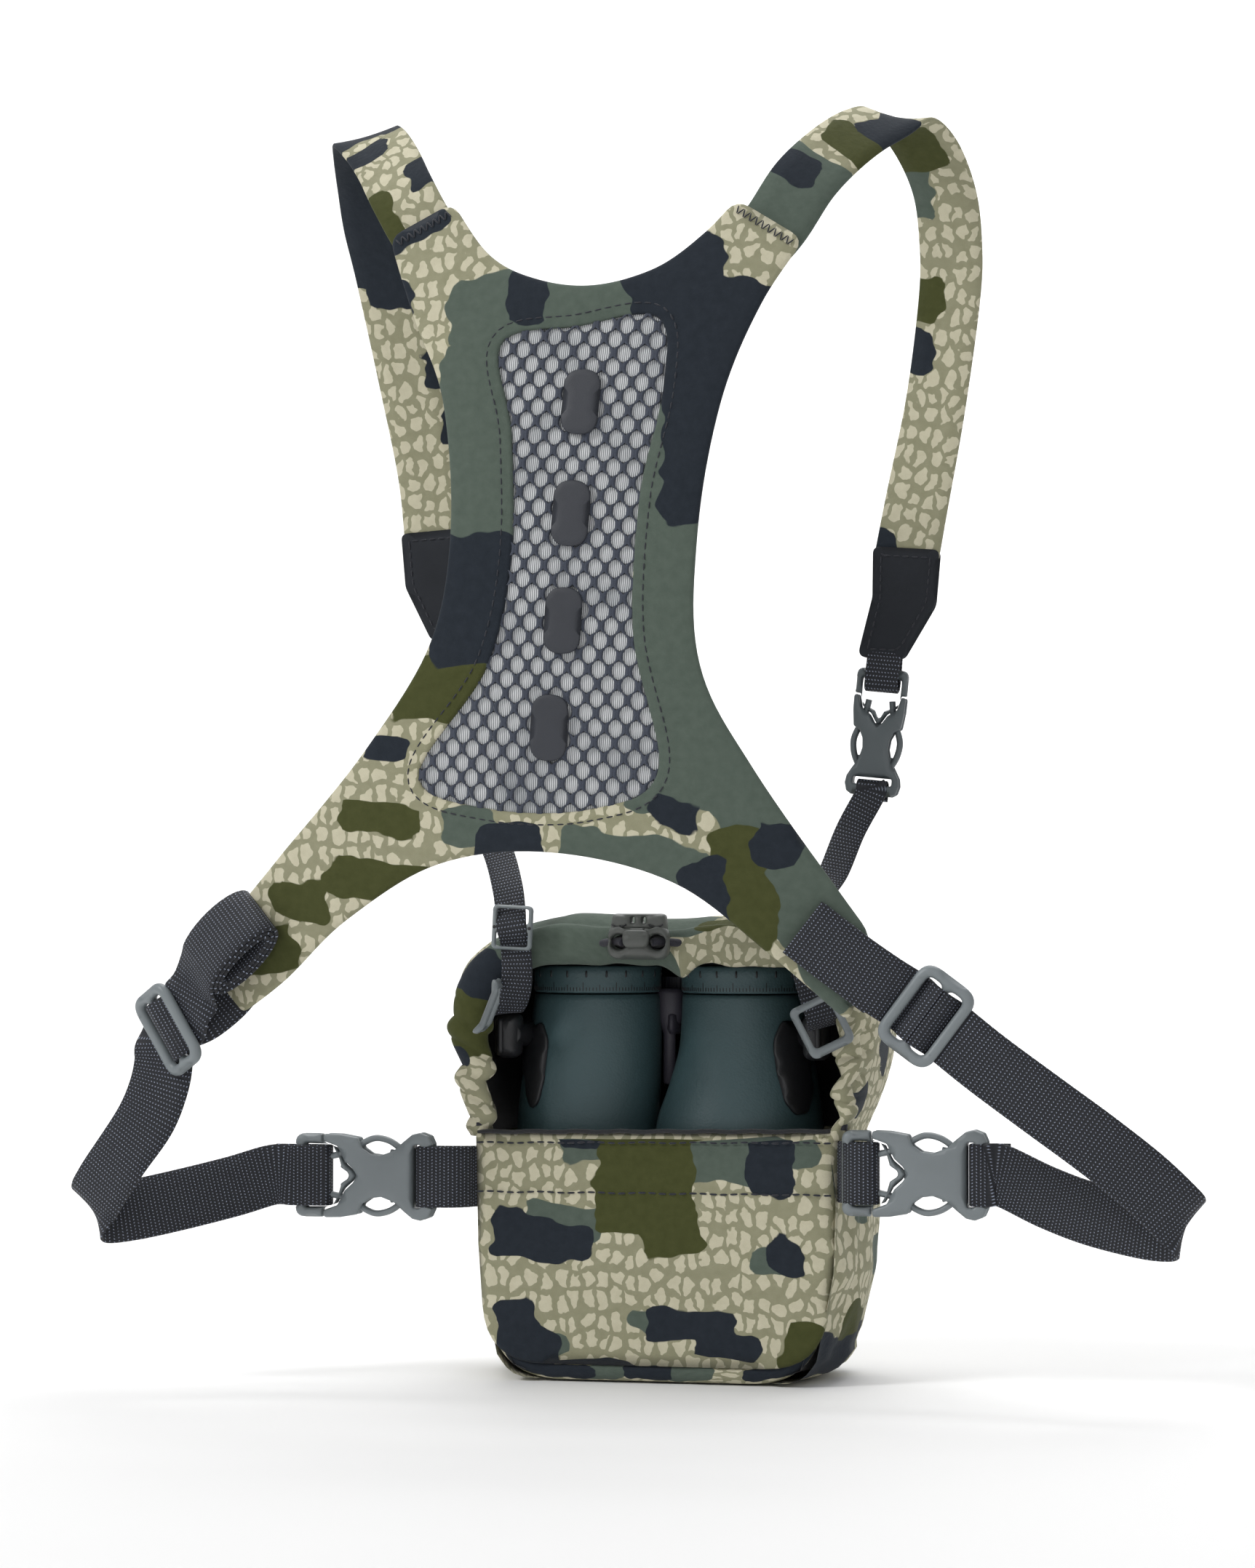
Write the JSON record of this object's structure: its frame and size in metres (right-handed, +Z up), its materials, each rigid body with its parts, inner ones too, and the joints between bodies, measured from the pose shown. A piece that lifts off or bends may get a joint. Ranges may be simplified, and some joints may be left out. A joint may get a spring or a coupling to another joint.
{
  "type": "binocular harness pack",
  "caption": "Hooded chest pouch that carries a binocular, hung from a four-armed back yoke by straps with side release buckles and sliders.",
  "frame": {"origin": "centre of the pouch's base, on the surface it stands on", "axes": "+Z up, +X to the right as the wearer-side panel is seen, +Y away from the wearer"},
  "size_m": [0.4622, 0.1846, 0.5151],
  "materials": {
    "camo_fabric": "printed brushed camouflage fabric",
    "binding_tape": "dark binding tape",
    "webbing": "dark slate nylon webbing with a fine rib",
    "stretch_strap": "printed stretch strap, brushed",
    "mesh_fabric": "open spacer mesh",
    "ribbed_backing": "pale ribbed knit",
    "rubber_pad": "moulded rubber, satin",
    "tab_laminate": "rubberised laminate with stitching",
    "buckle_plastic": "moulded acetal, fine texture",
    "lock_plastic": "moulded plastic",
    "elastic_cord": "braided elastic cord",
    "spring_steel": "plated spring wire",
    "armour_rubber": "teal green armour with a leather grain",
    "black_plastic": "black moulded plastic",
    "scale_ring_rubber": "teal green ring with a plain tick scale",
    "lens_glass": "coated glass"
  },
  "bodies": {
    "harness": {"pouch_shell": "camo_fabric", "pouch_back_panel": "camo_fabric", "pouch_binding": "binding_tape", "pouch_chest_band": "camo_fabric", "left_chest_tab": "webbing", "right_chest_tab": "webbing", "yoke_panel": "camo_fabric", "yoke_mesh": "mesh_fabric", "yoke_mesh_backing": "ribbed_backing", "yoke_pads": "rubber_pad", "yoke_webbing_ends": "webbing", "left_strap_roll": "webbing", "left_shoulder_strap": "stretch_strap", "right_shoulder_strap": "stretch_strap", "left_side_strap": "webbing", "right_side_strap": "webbing", "left_side_female": "buckle_plastic", "right_side_male": "buckle_plastic", "left_top_female": "buckle_plastic", "right_top_female": "buckle_plastic"},
    "hood": {"hood": "camo_fabric", "hood_hem": "camo_fabric", "hood_drawcord": "elastic_cord", "cord_lock_body": "lock_plastic", "cord_lock_spring": "spring_steel"},
    "cord_lock_button": {"cord_lock_button": "lock_plastic"},
    "binocular": {"left_barrel": "armour_rubber", "right_barrel": "armour_rubber", "ocular_lenses": "lens_glass", "objective_lenses": "lens_glass", "binocular_bridge": "black_plastic", "binocular_lugs": "black_plastic", "tape_triglides": "buckle_plastic", "lug_sliders": "buckle_plastic", "left_lower_tape": "webbing", "right_lower_tape": "webbing"},
    "focus_wheel": {"focus_wheel": "black_plastic"},
    "left_scale_ring": {"left_scale_ring": "scale_ring_rubber"},
    "left_eyecup": {"left_eyecup": "black_plastic"},
    "left_side_slider": {"left_side_slider": "buckle_plastic"},
    "left_top_plug": {"left_top_male": "buckle_plastic", "left_top_loop": "webbing", "left_strap_tab": "tab_laminate"},
    "left_side_prong_a": {"left_side_prong_a": "buckle_plastic"},
    "left_side_prong_b": {"left_side_prong_b": "buckle_plastic"},
    "left_top_prong_a": {"left_top_prong_a": "buckle_plastic"},
    "left_top_prong_b": {"left_top_prong_b": "buckle_plastic"},
    "right_scale_ring": {"right_scale_ring": "scale_ring_rubber"},
    "right_eyecup": {"right_eyecup": "black_plastic"},
    "right_side_slider": {"right_side_slider": "buckle_plastic"},
    "right_top_plug": {"right_top_male": "buckle_plastic", "right_top_loop": "webbing", "right_strap_tab": "tab_laminate"},
    "right_side_prong_a": {"right_side_prong_a": "buckle_plastic"},
    "right_side_prong_b": {"right_side_prong_b": "buckle_plastic"},
    "right_top_prong_a": {"right_top_prong_a": "buckle_plastic"},
    "right_top_prong_b": {"right_top_prong_b": "buckle_plastic"},
    "left_side_plug": {"left_side_male": "buckle_plastic"},
    "right_side_socket": {"right_side_female": "buckle_plastic"}
  },
  "joints": [
    {"name": "hood_fold", "type": "hinge", "parent": "harness", "child": "hood", "pos_m": [0, 0.044, 0.1003], "axis": [-1, 0, 0], "range_deg": [0, 75]},
    {"name": "cord_lock_press", "type": "slide", "parent": "hood", "child": "cord_lock_button", "axis": [0, 0, -1], "range_m": [0, 0.0025], "stiffness_N_per_m": 300, "deforming": ["cord_lock_spring"]},
    {"name": "binocular_lift", "type": "slide", "parent": "harness", "child": "binocular", "axis": [0, 0, 1], "range_m": [0, 0.11], "deforming": ["hood", "left_lower_tape", "right_lower_tape"]},
    {"name": "focus_turn", "type": "hinge", "parent": "binocular", "child": "focus_wheel", "pos_m": [-0.0007, 0.017, 0.1573], "axis": [0, 0, 1], "range_deg": [-270, 270]},
    {"name": "left_scale_turn", "type": "hinge", "parent": "binocular", "child": "left_scale_ring", "pos_m": [-0.0325, 0, 0.165], "axis": [0, 0, 1], "range_deg": [-35, 35]},
    {"name": "left_eyecup_twist_out", "type": "slide", "parent": "binocular", "child": "left_eyecup", "axis": [0, 0, 1], "range_m": [0, 0.006]},
    {"name": "right_scale_turn", "type": "hinge", "parent": "binocular", "child": "right_scale_ring", "pos_m": [0.031, 0, 0.165], "axis": [0, 0, 1], "range_deg": [-35, 35]},
    {"name": "right_eyecup_twist_out", "type": "slide", "parent": "binocular", "child": "right_eyecup", "axis": [0, 0, 1], "range_m": [0, 0.006]},
    {"name": "left_side_release", "type": "slide", "parent": "harness", "child": "left_side_plug", "axis": [-1, 0, 0], "range_m": [0, 0.03], "deforming": ["left_side_strap", "left_side_prong_a", "left_side_prong_b"]},
    {"name": "right_side_release", "type": "slide", "parent": "harness", "child": "right_side_socket", "axis": [1, 0, 0], "range_m": [0, 0.03], "deforming": ["right_side_strap", "right_side_prong_a", "right_side_prong_b"]},
    {"name": "left_top_release", "type": "slide", "parent": "harness", "child": "left_top_plug", "axis": [-0.0995, 0, 0.995], "range_m": [0, 0.026], "deforming": ["left_shoulder_strap", "left_top_prong_a", "left_top_prong_b"]},
    {"name": "right_top_release", "type": "slide", "parent": "harness", "child": "right_top_plug", "axis": [0.0995, 0, 0.995], "range_m": [0, 0.026], "deforming": ["right_shoulder_strap", "right_top_prong_a", "right_top_prong_b"]},
    {"name": "left_side_squeeze_a", "type": "hinge", "parent": "left_side_plug", "child": "left_side_prong_a", "pos_m": [-0.1358, -0.0465, 0.09128], "axis": [0, 1, 0], "range_deg": [0, 7], "stiffness_Nm_per_rad": 0.02},
    {"name": "left_side_squeeze_b", "type": "hinge", "parent": "left_side_plug", "child": "left_side_prong_b", "pos_m": [-0.1358, -0.0465, 0.07472], "axis": [0, -1, 0], "range_deg": [0, 7], "stiffness_Nm_per_rad": 0.02},
    {"name": "right_side_squeeze_a", "type": "hinge", "parent": "harness", "child": "right_side_prong_a", "pos_m": [0.0947, -0.0465, 0.09528], "axis": [0, 1, 0], "range_deg": [0, 7], "stiffness_Nm_per_rad": 0.02},
    {"name": "right_side_squeeze_b", "type": "hinge", "parent": "harness", "child": "right_side_prong_b", "pos_m": [0.0947, -0.0465, 0.07872], "axis": [0, -1, 0], "range_deg": [0, 7], "stiffness_Nm_per_rad": 0.02},
    {"name": "left_top_squeeze_a", "type": "hinge", "parent": "left_top_plug", "child": "left_top_prong_a", "pos_m": [-0.08756, -0.005, 0.29059], "axis": [0, 1, 0], "range_deg": [0, 7], "stiffness_Nm_per_rad": 0.02},
    {"name": "left_top_squeeze_b", "type": "hinge", "parent": "left_top_plug", "child": "left_top_prong_b", "pos_m": [-0.09786, -0.005, 0.28956], "axis": [0, -1, 0], "range_deg": [0, 7], "stiffness_Nm_per_rad": 0.02},
    {"name": "right_top_squeeze_a", "type": "hinge", "parent": "right_top_plug", "child": "right_top_prong_a", "pos_m": [0.09436, -0.005, 0.27956], "axis": [0, 1, 0], "range_deg": [0, 7], "stiffness_Nm_per_rad": 0.02},
    {"name": "right_top_squeeze_b", "type": "hinge", "parent": "right_top_plug", "child": "right_top_prong_b", "pos_m": [0.08406, -0.005, 0.28059], "axis": [0, -1, 0], "range_deg": [0, 7], "stiffness_Nm_per_rad": 0.02},
    {"name": "right_slider_travel", "type": "slide", "parent": "harness", "child": "right_side_slider", "axis": [0.7913, 0.02, -0.611], "range_m": [0, 0.018], "deforming": ["right_side_strap", "yoke_webbing_ends"]},
    {"name": "left_slider_travel", "type": "slide", "parent": "harness", "child": "left_side_slider", "axis": [-0.8303, 0.2001, -0.5202], "range_m": [0, 0.018], "deforming": ["left_side_strap", "left_strap_roll"]}
  ],
  "couplings": [
    {"joint": "left_side_squeeze_b", "follows": "left_side_squeeze_a", "ratio": 1},
    {"joint": "right_side_squeeze_b", "follows": "right_side_squeeze_a", "ratio": 1},
    {"joint": "left_top_squeeze_b", "follows": "left_top_squeeze_a", "ratio": 1},
    {"joint": "right_top_squeeze_b", "follows": "right_top_squeeze_a", "ratio": 1}
  ]
}
